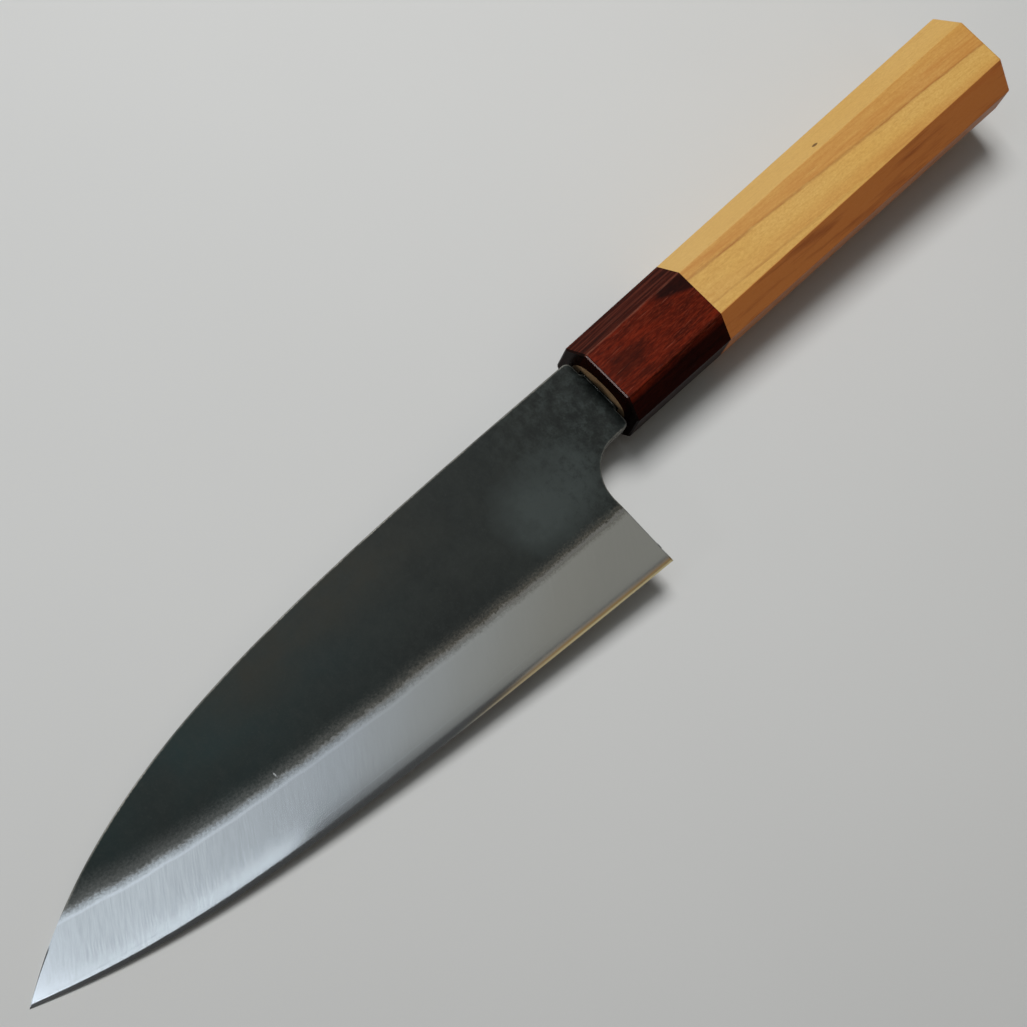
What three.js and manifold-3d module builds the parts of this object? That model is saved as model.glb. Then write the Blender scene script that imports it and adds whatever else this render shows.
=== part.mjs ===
// A funayuki kitchen knife: a three-layer blade with a hidden tang, held in an octagonal wooden handle.
// Units are millimetres. The knife is drawn in its own axes, with the origin at the middle of the
// ferrule's front face: +X runs to the butt, +Y to the spine and +Z to the left face of the blade.
// At the end it is laid on its right side, the way it comes to rest on a table.

import * as THREE from 'three';
import { mergeVertices } from 'three/addons/utils/BufferGeometryUtils.js';
import Module from 'manifold-3d';

const wasm = await Module();
wasm.setup();

// Blade outline
const bladeLength = 165.6; // heel corner to tip, along the handle's axis
const neckLength = 15.9; // heel line to the ferrule
const heelDepth = 39.0; // heel corner below the axis
const tipDrop = 15.6; // tip below the axis
const spineRise = 9.74; // spine above the axis at the ferrule
const neckDepth = 10.2; // underside of the neck below the axis
const choilRadius = 10.2; // round between heel and neck
const edgeHeelAngle = 4.0; // degrees, how steeply the edge leaves the heel
const edgeTipAngle = 19.8; // degrees, how steeply it meets the tip
const edgeHeelPull = 0.655; // share of the blade's length that follows the heel's direction
const edgeTipPull = 0.208; // share that follows the tip's direction
const spineNeckAngle = 1.0; // degrees, the same for the spine
const spineTipAngle = 34.1;
const spineNeckPull = 0.527; // shares of the length from ferrule to tip
const spineTipPull = 0.26;

// Blade section
const spineThicknessNeck = 3.2;
const spineThicknessTip = 0.8;
const bevelWidth = 14.8; // ground bevel, from the edge up to the flat cheek
const bevelHeelFlare = 1.3; // extra width of the bevel at the heel
const flareFade = 3; // power with which the extra width fades towards the tip
const bevelFullness = 0.35; // how far the bevel bulges: 0 is flat
const honedWidth = 0.6; // fine bevel along the very edge
const honedThickness = 0.24; // blade thickness at the top of the fine bevel
const spineEase = 0.35; // chamfer along the spine
const coreShare = 0.32; // hard core, as a share of the spine's thickness

// Tang
const tangLength = 86; // beyond the ferrule's front face
const tangHeightEnd = 7;
const tangThicknessEnd = 2;
const shoulderGap = 0.3; // shoulders of the neck to the ferrule
const shoulderStep = 4.6; // neck's outline down to the tang
const shoulderRadius = 1.5;

// Handle
const handleLength = 135.6; // ferrule and body together
const ferruleLength = 31.4;
const frontHeight = 23.3; // spine side to edge side
const buttHeight = 25.8;
const frontThickness = 18.9; // left face to right face
const buttThickness = 21.1;
const frontCorner = 4.9; // leg of the octagon's corner facets
const buttCorner = 6.3;
const ferruleChamfer = 0.4; // rim of the ferrule's front face
const buttChamfer = 0.9; // rim of the butt

// Dowel that runs through the ferrule into the body and takes the tang
const dowelWall = 2.2; // above and below the slot
const dowelCheek = 2.85; // left and right of the slot
const dowelEnd = 8; // solid end beyond the tang
const dowelFullness = 2.5; // shape of the oval: 2 is an ellipse, more is squarer
const slotClearance = 0.9; // room for resin round the tang
const resinSetback = 0.4; // resin behind the ferrule's front face

// Clearances
const glueGap = 0.05; // between pieces that are glued
const weldGap = 0.02; // between the layers of the blade

// Fineness of curves
const bladeStations = 32; // along the blade, closer together towards the tip
const stationCrowding = 1.5;
const bevelFacets = 5; // across the bevel
const lowSectionStep = 0.125; // largest step of a low section, as a share of its height
const halvings = 40; // to find a curve's height at a given x
const ovalSegments = 48;
const arcSegments = 16;

const radians = THREE.MathUtils.degToRad;
const lerp = THREE.MathUtils.lerp;

const heelX = -neckLength;
const tipX = heelX - bladeLength;
const shoulderX = -shoulderGap;
const trimMargin = 10; // cutting bodies reach this far past what they cut
const samePoint = 1e-5; // corners closer than this are one corner

// Solids

function toSolid(geometry) {
  const bare = geometry.clone();
  bare.deleteAttribute('normal');
  bare.deleteAttribute('uv');
  const merged = mergeVertices(bare, samePoint);
  return new wasm.Manifold(new wasm.Mesh({
    numProp: 3,
    vertProperties: new Float32Array(merged.attributes.position.array),
    triVerts: new Uint32Array(merged.index.array),
  }));
}

function toGeometry(solid) {
  const mesh = solid.getMesh();
  const geometry = new THREE.BufferGeometry();
  geometry.setAttribute('position', new THREE.BufferAttribute(mesh.vertProperties, 3));
  geometry.setIndex(new THREE.BufferAttribute(mesh.triVerts, 1));
  geometry.computeVertexNormals();
  return geometry;
}

// Closed body through rings of equally many points. Each ring turns anticlockwise as seen from +X,
// and the rings follow each other along +X. The first ring may be a single point.
function loft(rings) {
  const triangles = [];
  const firsts = rings.map((_, i) => rings.slice(0, i).flat().length);
  const corner = (i, k) => firsts[i] + k % rings[i].length;
  rings.slice(1).forEach((ring, i) => {
    for (let k = 0; k < ring.length; k += 1) {
      if (rings[i].length > 1) triangles.push(corner(i, k), corner(i, k + 1), corner(i + 1, k));
      triangles.push(corner(i, k + 1), corner(i + 1, k + 1), corner(i + 1, k));
    }
  });
  const cap = (i, forward) => {
    const outline = rings[i].map(([, y, z]) => new THREE.Vector2(y, z));
    for (const [p, q, r] of THREE.ShapeUtils.triangulateShape(outline, [])) {
      const order = forward ? [p, q, r] : [p, r, q];
      triangles.push(...order.map((k) => corner(i, k)));
    }
  };
  if (rings[0].length > 1) cap(0, false);
  cap(rings.length - 1, true);
  const geometry = new THREE.BufferGeometry();
  geometry.setAttribute('position', new THREE.Float32BufferAttribute(rings.flat(2), 3));
  geometry.setIndex(triangles);
  return geometry;
}

// Blade

const tip = new THREE.Vector2(tipX, -tipDrop);
const heel = new THREE.Vector2(heelX, -heelDepth);
const spineStart = new THREE.Vector2(0, spineRise);

function pulled(point, degrees, length) {
  return new THREE.Vector2(
    point.x + length * Math.cos(radians(degrees)),
    point.y + length * Math.sin(radians(degrees)),
  );
}

const edgeCurve = new THREE.CubicBezierCurve(
  tip,
  pulled(tip, -edgeTipAngle, edgeTipPull * bladeLength),
  pulled(heel, 180 - edgeHeelAngle, edgeHeelPull * bladeLength),
  heel,
);

const spineCurve = new THREE.CubicBezierCurve(
  tip,
  pulled(tip, spineTipAngle, spineTipPull * -tipX),
  pulled(spineStart, 180 - spineNeckAngle, spineNeckPull * -tipX),
  spineStart,
);

// Height of a curve at x. Past its end it runs on straight.
function heightAt(curve, x) {
  if (x > curve.v3.x) {
    const slope = (curve.v3.y - curve.v2.y) / (curve.v3.x - curve.v2.x);
    return curve.v3.y + slope * (x - curve.v3.x);
  }
  let low = 0;
  let high = 1;
  for (let step = 0; step < halvings; step += 1) {
    const middle = (low + high) / 2;
    if (curve.getPoint(middle).x < x) low = middle;
    else high = middle;
  }
  return curve.getPoint(low).y;
}

// Thickness of the blank at the spine: it thins from the neck to the tip, and along the tang.
function spineThickness(x) {
  if (x > shoulderX) {
    const along = (x - shoulderX) / (tangLength - shoulderX);
    return lerp(spineThicknessNeck, tangThicknessEnd, along);
  }
  return lerp(spineThicknessTip, spineThicknessNeck, (x - tipX) / (shoulderX - tipX));
}

function bevelHeight(x) {
  const toHeel = THREE.MathUtils.clamp((x - tipX) / bladeLength, 0, 1);
  return bevelWidth + bevelHeelFlare * toHeel ** flareFade;
}

// Half the blade's thickness at x, at a height above the edge: fine bevel, full bevel, then flat cheek.
function halfThickness(x, above) {
  const cheekHalf = spineThickness(x) / 2;
  const honedHalf = honedThickness / 2;
  const width = bevelHeight(x);
  if (above <= honedWidth) return honedHalf * above / honedWidth;
  if (above >= width) return cheekHalf;
  const u = (above - honedWidth) / (width - honedWidth);
  return lerp(honedHalf, cheekHalf, u * (1 + bevelFullness * (1 - u)));
}

// Section of the ground blank at x, from the edge up the left face, over the spine and back.
// Where the blade runs out to the tip the section is low, and its steps shrink with it.
function bladeRing(x) {
  const edgeY = heightAt(edgeCurve, x);
  const total = heightAt(spineCurve, x) - edgeY;
  const largestStep = total * lowSectionStep;
  const eased = Math.min(spineEase, largestStep);
  const honed = Math.min(honedWidth, largestStep);
  const shoulder = total - eased;
  const line = Math.min(bevelHeight(x), shoulder - largestStep);
  const bevel = Array.from({ length: bevelFacets + 1 }, (_, i) => lerp(honed, line, i / bevelFacets));
  const face = [...bevel, shoulder].map((above) => [above, halfThickness(x, above)]);
  const [, spineHalf] = face.at(-1);
  face.push([total, Math.max(spineHalf - eased, spineHalf / 2)]);
  const left = face.map(([above, half]) => [x, edgeY + above, half]);
  const right = face.map(([above, half]) => [x, edgeY + above, -half]).reverse();
  return [[x, edgeY, 0], ...left, ...right].reverse();
}

function groundBlank() {
  const rings = [[[tipX, -tipDrop, 0]]];
  for (let i = 1; i <= bladeStations; i += 1) {
    const share = (i / bladeStations) ** stationCrowding;
    rings.push(bladeRing(lerp(tipX, shoulderX, share)));
  }
  rings.push(bladeRing(tangLength + trimMargin));
  return loft(rings);
}

const neckTop = heightAt(spineCurve, shoulderX);
const tangHeightNeck = 2 * (Math.min(neckTop, neckDepth) - shoulderStep);

// Heel, choil, neck, shoulders and tang. In front of the heel the blank keeps its full height.
function trimShape() {
  const tangTop = tangHeightNeck / 2;
  const endTop = tangHeightEnd / 2;
  const round = Math.min(shoulderRadius, shoulderStep);
  const choil = Math.min(choilRadius, neckLength - shoulderGap - round);
  const far = heelDepth + trimMargin;
  const shape = new THREE.Shape();
  shape.moveTo(tipX - trimMargin, -far);
  shape.lineTo(heelX, -far);
  shape.lineTo(heelX, -neckDepth - choil);
  shape.absarc(heelX + choil, -neckDepth - choil, choil, Math.PI, Math.PI / 2, true);
  shape.lineTo(shoulderX - round, -neckDepth);
  shape.absarc(shoulderX - round, -neckDepth + round, round, -Math.PI / 2, 0, false);
  shape.lineTo(shoulderX, -tangTop);
  shape.lineTo(tangLength, -endTop);
  shape.lineTo(tangLength, endTop);
  shape.lineTo(shoulderX, tangTop);
  shape.absarc(shoulderX - round, neckTop - round, round, 0, Math.PI / 2, false);
  shape.lineTo(shoulderX - round, far);
  shape.lineTo(tipX - trimMargin, far);
  return shape;
}

function forgedBlade() {
  const depth = 2 * spineThicknessNeck;
  const settings = { depth, bevelEnabled: false, curveSegments: arcSegments };
  const trim = new THREE.ExtrudeGeometry(trimShape(), settings);
  trim.translate(0, 0, -depth / 2);
  return toSolid(groundBlank()).intersect(toSolid(trim));
}

// Slab between two heights over the blade's middle plane, each given at tip, shoulders and tang end.
function layerSlab(lows, highs) {
  const stations = [tipX - trimMargin, shoulderX, tangLength + trimMargin];
  const side = heelDepth + trimMargin;
  const rings = stations.map((x, i) => [
    [x, -side, lows[i]],
    [x, side, lows[i]],
    [x, side, highs[i]],
    [x, -side, highs[i]],
  ]);
  return toSolid(loft(rings));
}

function bladeLayers() {
  const blade = forgedBlade();
  const thicknesses = [spineThicknessTip, spineThicknessNeck, tangThicknessEnd];
  const coreHalf = thicknesses.map((thickness) => coreShare * thickness / 2);
  const cladFrom = coreHalf.map((half) => half + weldGap);
  const cladTo = coreHalf.map(() => spineThicknessNeck);
  const negative = (values) => values.map((value) => -value);
  return {
    core: blade.intersect(layerSlab(negative(coreHalf), coreHalf)),
    left: blade.intersect(layerSlab(cladFrom, cladTo)),
    right: blade.intersect(layerSlab(negative(cladTo), negative(cladFrom))),
  };
}

// Handle

// Octagon across the handle at x, drawn in by a chamfer on the rim.
function octagonRing(x, inset = 0) {
  const along = x / handleLength;
  const y = lerp(frontHeight, buttHeight, along) / 2 - inset;
  const z = lerp(frontThickness, buttThickness, along) / 2 - inset;
  const corner = lerp(frontCorner, buttCorner, along) - inset * (2 - Math.SQRT2);
  return [
    [y - corner, -z], [y, corner - z], [y, z - corner], [y - corner, z],
    [corner - y, z], [-y, z - corner], [-y, corner - z], [corner - y, -z],
  ].map(([a, b]) => [x, a, b]);
}

const dowelHeight = tangHeightNeck + 2 * (slotClearance + dowelWall);
const dowelThickness = spineThicknessNeck + 2 * (slotClearance + dowelCheek);
const dowelLength = tangLength + slotClearance + dowelEnd;

// Oval bar along the handle's axis, as wide and thick as the dowel plus a clearance all round.
function ovalBar(fromX, toX, clearance) {
  const filled = (share) => Math.sign(share) * Math.abs(share) ** (2 / dowelFullness);
  const ring = (x) => Array.from({ length: ovalSegments }, (_, i) => {
    const turn = 2 * Math.PI * i / ovalSegments;
    const y = (dowelHeight / 2 + clearance) * filled(Math.cos(turn));
    const z = (dowelThickness / 2 + clearance) * filled(Math.sin(turn));
    return [x, y, z];
  });
  return toSolid(loft([ring(fromX), ring(toX)]));
}

// Bar with the tang's tapers, larger than the tang by a clearance all round and at its end.
function tangBar(fromX, clearance) {
  const ring = (x) => {
    const along = (x - shoulderX) / (tangLength - shoulderX);
    const y = lerp(tangHeightNeck, tangHeightEnd, along) / 2 + clearance;
    const z = spineThickness(x) / 2 + clearance;
    return [[x, -y, -z], [x, y, -z], [x, y, z], [x, -y, z]];
  };
  return toSolid(loft([ring(fromX), ring(tangLength + clearance)]));
}

function ferruleSolid() {
  const ring = loft([
    octagonRing(0, ferruleChamfer),
    octagonRing(ferruleChamfer),
    octagonRing(ferruleLength),
  ]);
  return toSolid(ring).subtract(ovalBar(-trimMargin, ferruleLength + trimMargin, glueGap));
}

function bodySolid() {
  const bar = loft([
    octagonRing(ferruleLength + glueGap),
    octagonRing(handleLength - buttChamfer),
    octagonRing(handleLength, buttChamfer),
  ]);
  return toSolid(bar).subtract(ovalBar(0, dowelLength + glueGap, glueGap));
}

function dowelSolid() {
  return ovalBar(0, dowelLength, 0).subtract(tangBar(shoulderX, slotClearance));
}

function resinSolid() {
  return tangBar(resinSetback, slotClearance - glueGap).subtract(tangBar(shoulderX, glueGap));
}

// Sub-parts and finishes

function piece(name, solid, color, roughness, metalness = 0) {
  const material = new THREE.MeshStandardMaterial({ color, roughness, metalness });
  const mesh = new THREE.Mesh(toGeometry(solid), material);
  mesh.name = name;
  return mesh;
}

const layers = bladeLayers();
const blade = new THREE.Group();
blade.add(
  piece('core_steel', layers.core, 0xbcc2c8, 0.28, 1),
  piece('cladding_left', layers.left, 0x343a39, 0.5, 0.6),
  piece('cladding_right', layers.right, 0x343a39, 0.5, 0.6),
);

const handle = new THREE.Group();
handle.add(
  piece('tang_dowel', dowelSolid(), 0xc2a57a, 0.7),
  piece('tang_resin', resinSolid(), 0x6e6048, 0.2),
  piece('ferrule', ferruleSolid(), 0x541a10, 0.35),
  piece('handle_body', bodySolid(), 0xc89f58, 0.5),
);

// The blade outweighs the handle, so the knife lies on the ferrule's lower front edge and the tip.
const lying = new THREE.Group();
lying.add(blade, handle);
const ferruleDrop = lerp(frontThickness, buttThickness, ferruleChamfer / handleLength) / 2;
lying.rotation.y = -Math.atan2(ferruleDrop, ferruleChamfer - tipX);

// The origin is on the table, under the middle of the knife.
const knife = new THREE.Group();
knife.add(lying);
const box = new THREE.Box3().setFromObject(knife, true);
const middle = box.getCenter(new THREE.Vector3());
lying.position.set(-middle.x, -middle.y, -box.min.z);

export default knife;
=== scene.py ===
# %% [markdown]
# # A funayuki kitchen knife
# The knife already exists as a plain CAD model, which fixes where each piece is and how large.
# This lesson loads that model as a frame and leaves it where it is. Then it makes the pieces that show once
# more, with finer surfaces in the same places, and gives every piece its finish.

# %% Load the frame
import math

import bpy
import numpy as np
from mathutils import Matrix, Vector


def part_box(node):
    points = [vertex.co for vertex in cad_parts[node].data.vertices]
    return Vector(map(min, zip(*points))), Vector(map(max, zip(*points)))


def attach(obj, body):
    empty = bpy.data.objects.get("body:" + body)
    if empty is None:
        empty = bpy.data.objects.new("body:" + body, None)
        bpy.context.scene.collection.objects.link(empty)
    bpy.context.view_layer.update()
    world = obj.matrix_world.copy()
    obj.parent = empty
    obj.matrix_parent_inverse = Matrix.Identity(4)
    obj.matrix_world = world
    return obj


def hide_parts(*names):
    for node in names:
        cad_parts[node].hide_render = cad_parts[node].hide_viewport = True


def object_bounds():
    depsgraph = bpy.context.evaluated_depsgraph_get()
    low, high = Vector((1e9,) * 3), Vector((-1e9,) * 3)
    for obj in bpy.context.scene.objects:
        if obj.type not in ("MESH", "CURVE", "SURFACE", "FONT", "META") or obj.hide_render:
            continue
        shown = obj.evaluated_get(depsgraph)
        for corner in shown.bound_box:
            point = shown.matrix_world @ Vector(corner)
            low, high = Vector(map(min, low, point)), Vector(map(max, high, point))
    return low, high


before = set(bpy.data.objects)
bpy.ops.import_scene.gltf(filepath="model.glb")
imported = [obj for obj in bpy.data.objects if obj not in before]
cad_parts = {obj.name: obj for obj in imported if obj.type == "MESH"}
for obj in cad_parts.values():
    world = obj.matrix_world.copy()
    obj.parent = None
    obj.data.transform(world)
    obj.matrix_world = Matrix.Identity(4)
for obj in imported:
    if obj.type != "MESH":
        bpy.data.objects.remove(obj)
cad_low, cad_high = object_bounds()
scene = bpy.context.scene
scene.view_settings.view_transform = "Standard"
print("pieces in the frame:", ", ".join(sorted(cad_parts)))

# %% [markdown]
# ## The knife's own axes
# The knife lies a little tilted: it rests on the front edge of the ferrule and on the blade near its tip.
# A tilted blade is awkward to draw, so it is drawn in axes of its own, as a smith would measure it: in
# millimetres from the middle of the ferrule's front, X to the butt, Y to the spine and Z out of the left
# face. One turn and one shift then lay each finished piece down. Both are read off the frame.

# %% The knife's own axes
MM = 0.001
BLADE_LENGTH = 165.6
NECK_LENGTH = 15.9
HEEL_DEPTH = 39.0
TIP_DROP = 15.6
HANDLE_LENGTH = 135.6
FRONT_THICKNESS = 18.9
BUTT_THICKNESS = 21.1
FRONT_RIM = 0.4

heel_x = -NECK_LENGTH
tip_x = heel_x - BLADE_LENGTH
drop = (FRONT_THICKNESS + (BUTT_THICKNESS - FRONT_THICKNESS) * FRONT_RIM / HANDLE_LENGTH) / 2
tilt = -math.atan2(drop, FRONT_RIM - tip_x)
turn = Matrix.Rotation(tilt, 3, "Y")

ferrule_low, ferrule_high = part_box("ferrule")
tip_reach = turn @ Vector((tip_x, 0, 0)) * MM
rim_reach = turn @ Vector((FRONT_RIM, 0, -drop)) * MM
origin = Vector((cad_low.x - tip_reach.x, (ferrule_low.y + ferrule_high.y) / 2, ferrule_low.z - rim_reach.z))


def placed(x, y, z):
    """A point of the knife's own axes, in metres in the frame."""
    return origin + turn @ Vector((x, y, z)) * MM


print("ferrule front at", [round(c, 5) for c in origin], "tilt in degrees", round(math.degrees(tilt), 3))

# %% [markdown]
# ## The camera
# The photograph looks down on the knife from the tip's side, with the knife across the picture's diagonal.
# A camera can be turned by three angles, but its place, the point it looks at and its upward direction are
# easier to reason about. They are given in the knife's axes, and the three axes of the camera follow.

# %% The camera
PHOTO_PIXELS = 1027
FOCAL_PIXELS = 2400
eye = placed(-235.9, -67.6, 481.6)
looked_at = placed(-35.0, -7.4, 0)
upward = turn @ Vector((0.6212, 0.7027, 0.3469))

camera = bpy.data.objects.new("camera", bpy.data.cameras.new("camera"))
scene.collection.objects.link(camera)
scene.camera = camera
camera.data.lens = camera.data.sensor_width * FOCAL_PIXELS / PHOTO_PIXELS
camera.data.clip_start = 0.01
back = (eye - looked_at).normalized()
right = upward.cross(back).normalized()
axes = Matrix((right, back.cross(right), back)).transposed()
camera.matrix_world = Matrix.Translation(eye) @ axes.to_4x4()
print("camera", round(camera.data.lens, 1), "mm, from", [round(c, 3) for c in eye])

# %% [markdown]
# ## Sums that write nodes
# Geometry Nodes and materials are both trees of nodes, and most of their nodes are plain sums. A sum is
# easier to read as `1 - mask` than as a node and two links. `Wire` holds a node's output, and adding or
# multiplying wires adds the Math nodes. Every other node comes from `Plan.node`: its type, its settings,
# and the values or wires of its sockets.

# %% Sums that write nodes
class Wire:
    """A node's output. Arithmetic on it adds Math nodes to its plan."""

    def __init__(self, plan, socket):
        self.plan = plan
        self.socket = socket

    def __add__(self, other):
        return self.plan.math("ADD", self, other)

    def __sub__(self, other):
        return self.plan.math("SUBTRACT", self, other)

    def __rsub__(self, other):
        return self.plan.math("SUBTRACT", other, self)

    def __mul__(self, other):
        return self.plan.math("MULTIPLY", self, other)

    def __truediv__(self, other):
        return self.plan.math("DIVIDE", self, other)

    def __rtruediv__(self, other):
        return self.plan.math("DIVIDE", other, self)

    def __pow__(self, power):
        return self.plan.math("POWER", self, power)

    __radd__ = __add__
    __rmul__ = __mul__


class Plan:
    """Writes nodes into one tree."""

    def __init__(self, tree):
        self.tree = tree

    def node(self, kind, settings=None, sockets=None, output=0):
        made = self.tree.nodes.new(kind)
        for name, value in (settings or {}).items():
            setattr(made, name, value)
        for key, value in (sockets or {}).items():
            for each in value if isinstance(value, list) else [value]:
                if isinstance(each, Wire):
                    self.tree.links.new(each.socket, made.inputs[key])
                else:
                    made.inputs[key].default_value = each
        return Wire(self, made.outputs[output]) if made.outputs else None

    def math(self, operation, *values):
        return self.node("ShaderNodeMath", {"operation": operation}, dict(enumerate(values)))

    def limited(self, value, low, high):
        return self.node("ShaderNodeClamp", None, {"Value": value, "Min": low, "Max": high})

    def ramp(self, value, start, end, low=0.0, high=1.0, curve="LINEAR"):
        """Goes from low to high while the value goes from start to end, and stays there."""
        sockets = {"Value": value, "From Min": start, "From Max": end, "To Min": low, "To Max": high}
        return self.node("ShaderNodeMapRange", {"interpolation_type": curve}, sockets)


print("node helpers ready")

# %% [markdown]
# ## The blade, seen from its side
# The outline of the blade is two smooth curves that meet in the tip: the cutting edge and the spine. A
# Bezier curve with two handles is enough for each. Behind the heel, a round notch leads up to the neck, and
# the neck ends in rounded shoulders with the tang behind them. The outline could be traced by hand in Edit
# Mode, but the same few numbers also place the ground bevel, so it is worked out.

# %% Edge, spine and neck
NECK_DEPTH = 10.2
NOTCH_RADIUS = 10.2
SHOULDER_X = -0.3
SHOULDER_RADIUS = 1.5
SHOULDER_STEP = 4.6
TANG_LENGTH = 86.0
TANG_END_HEIGHT = 7.0


def pulled(point, degrees, length):
    angle = math.radians(degrees)
    return point + length * Vector((math.cos(angle), math.sin(angle)))


tip = Vector((tip_x, -TIP_DROP))
heel = Vector((heel_x, -HEEL_DEPTH))
spine_end = Vector((0, 9.74))
EDGE = (tip, pulled(tip, -19.8, 0.208 * BLADE_LENGTH), pulled(heel, 176, 0.655 * BLADE_LENGTH), heel)
SPINE = (tip, pulled(tip, 34.1, -0.26 * tip_x), pulled(spine_end, 179, -0.527 * tip_x), spine_end)


def on_curve(curve, t):
    a, b, c, d = curve
    s = 1 - t
    return s * s * s * a + 3 * s * s * t * b + 3 * s * t * t * c + t * t * t * d


def height_at(curve, x):
    """Height of a curve above x, found by halving."""
    low, high = 0.0, 1.0
    for _ in range(40):
        middle = (low + high) / 2
        if on_curve(curve, middle).x < x:
            low = middle
        else:
            high = middle
    return on_curve(curve, low).y


neck_top = height_at(SPINE, SHOULDER_X)
tang_half = min(neck_top, NECK_DEPTH) - SHOULDER_STEP
print("blade depth at the heel", round(height_at(SPINE, heel_x) + HEEL_DEPTH, 1), "mm")

# %% [markdown]
# ## The grind
# A blade of this kind is three layers: hard steel in the middle and soft iron on both sides. The flat cheeks
# keep the black skin of the forge. Below them the bevel is ground down to the edge, slightly full like a
# clam's shell, and lays the hard core bare as a strip along the edge. The thickness at any spot follows from
# two distances, its place along the blade and its height above the edge, so this is a rule for Geometry
# Nodes. First come the sizes, and the height at which the grind reaches a layer's inner face.

# %% Sizes of the grind
NECK_THICKNESS = 3.2
TIP_THICKNESS = 0.8
TANG_END_THICKNESS = 2.0
BEVEL_WIDTH = 14.8
HEEL_FLARE = 1.3
FLARE_FADE = 3
FULLNESS = 0.35
HONED_WIDTH = 0.6
HONED_HALF = 0.12
EDGE_ROLL = 0.13
CORE_SHARE = 0.32
WELD_GAP = 0.003
EASE = 0.35


def thickness_at(x):
    along = (x - tip_x) / (SHOULDER_X - tip_x)
    return TIP_THICKNESS + (NECK_THICKNESS - TIP_THICKNESS) * along


def bevel_at(x):
    return BEVEL_WIDTH + HEEL_FLARE * ((x - tip_x) / BLADE_LENGTH) ** FLARE_FADE


def bared_height(x, gap):
    """Height above the edge where the grind comes through to the core, plus a gap."""
    half = thickness_at(x) / 2
    share = (CORE_SHARE * half + gap - HONED_HALF) / (half - HONED_HALF)
    root = math.sqrt((1 + FULLNESS) ** 2 - 4 * FULLNESS * share)
    return HONED_WIDTH + (bevel_at(x) - HONED_WIDTH) * (1 + FULLNESS - root) / (2 * FULLNESS)


print("core laid bare at the heel over", round(bared_height(heel_x, 0), 2), "mm")

# %% [markdown]
# ## Flat patterns of the layers
# Each layer starts as a flat pattern, like a paper template: a net of points between its lower and its upper
# outline, row by row from the tip to the end of the tang. Rows lie close together where the outline bends.
# Each point carries two numbers that the grind needs later: its height above the edge, and its distance from
# the outline's rim, where the corners are broken.

# %% Outline of the notch, the neck and the tang
choil_y = -NECK_DEPTH - NOTCH_RADIUS


def quarter(steps):
    return [math.radians(90) * i / steps for i in range(1, steps + 1)]


def neck_rows():
    """(x, lower outline, upper outline) from the heel to the shoulders."""
    rows = []
    for a in quarter(60):
        x = heel_x + NOTCH_RADIUS * (1 - math.cos(a))
        rows.append((x, choil_y + NOTCH_RADIUS * math.sin(a), height_at(SPINE, x)))
    start, end = rows[-1][0], SHOULDER_X - SHOULDER_RADIUS
    for i in range(1, 5):
        x = start + (end - start) * i / 4
        rows.append((x, -NECK_DEPTH, height_at(SPINE, x)))
    for a in quarter(10):
        bite = SHOULDER_RADIUS * (1 - math.cos(a))
        rows.append((end + SHOULDER_RADIUS * math.sin(a), -NECK_DEPTH + bite, neck_top - bite))
    return rows


def blade_xs(front):
    """Rows of the blade from a front point to the heel, closer towards the tip and at the heel's rim."""
    xs = [front + (heel_x - EASE - front) * (i / 200) ** 1.4 for i in range(201)]
    return xs + [heel_x - EASE * (1 - i / 4) for i in range(1, 5)]


lower_rim = [heel, Vector((heel_x, choil_y))] + [Vector((x, low)) for x, low, _ in neck_rows()]
lower_rim.append(Vector((SHOULDER_X, -tang_half)))
upper_rim = [Vector((x, height_at(SPINE, x))) for x in blade_xs(tip_x)]
upper_rim += [Vector((x, high)) for x, _, high in neck_rows()] + [Vector((SHOULDER_X, tang_half))]
print("rim points", len(lower_rim) + len(upper_rim))

# %% A net of points between two outlines


def spread(keys, steps):
    """Values that split each span between two keys into equal steps."""
    values = [keys[0]]
    for start, end, count in zip(keys, keys[1:], steps):
        values += [start + (end - start) * i / count for i in range(1, count + 1)]
    return values


def layer_rows(front, low_keys, low_steps):
    """Rows (x, first column, heights) of a layer. low_keys(x) are its lower key heights above the edge."""
    base = low_keys(heel_x)[-1]
    at_heel = height_at(SPINE, heel_x) - EASE + HEEL_DEPTH - base
    notch_share = (choil_y + HEEL_DEPTH - base) / at_heel
    rim_share = notch_share + 2 * EASE / at_heel
    steps = low_steps + [3, 6, 16, 4]
    first = sum(low_steps) + 3
    rows = []
    for x in blade_xs(front):
        edge = height_at(EDGE, x)
        total = height_at(SPINE, x) - edge
        low = [min(key, total) for key in low_keys(x)]
        top = max(low[-1], total - EASE)
        rest = [low[-1] + (top - low[-1]) * share for share in (notch_share, rim_share)]
        rows.append((x, 0, [edge + h for h in spread(low + rest + [top, total], steps)]))
    last = rows[-1][2]
    shares = [(y - last[first]) / (last[-1] - last[first]) for y in last[first:]]
    for x, low, high in neck_rows():
        rows.append((x, first, [low + (high - low) * share for share in shares]))
    kept = [(first + i, y) for i, y in enumerate(rows[-1][2]) if abs(y) <= tang_half]
    for i in range(1, 13):
        x = SHOULDER_X + (TANG_LENGTH - SHOULDER_X) * i / 12
        shrink = 1 + (TANG_END_HEIGHT / 2 / tang_half - 1) * i / 12
        rows.append((x, kept[0][0], [y * shrink for _, y in kept]))
    return rows


def distances(points, path):
    """Distance of each point from a path of straight steps."""
    starts = np.array(path[:-1])
    spans = np.array(path[1:]) - starts
    found = np.full(len(points), np.inf)
    for start, span in zip(starts, spans):
        share = np.clip((points - start) @ span / max(span @ span, 1e-12), 0, 1)
        found = np.minimum(found, np.linalg.norm(points - start - share[:, None] * span, axis=1))
    return found


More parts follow.
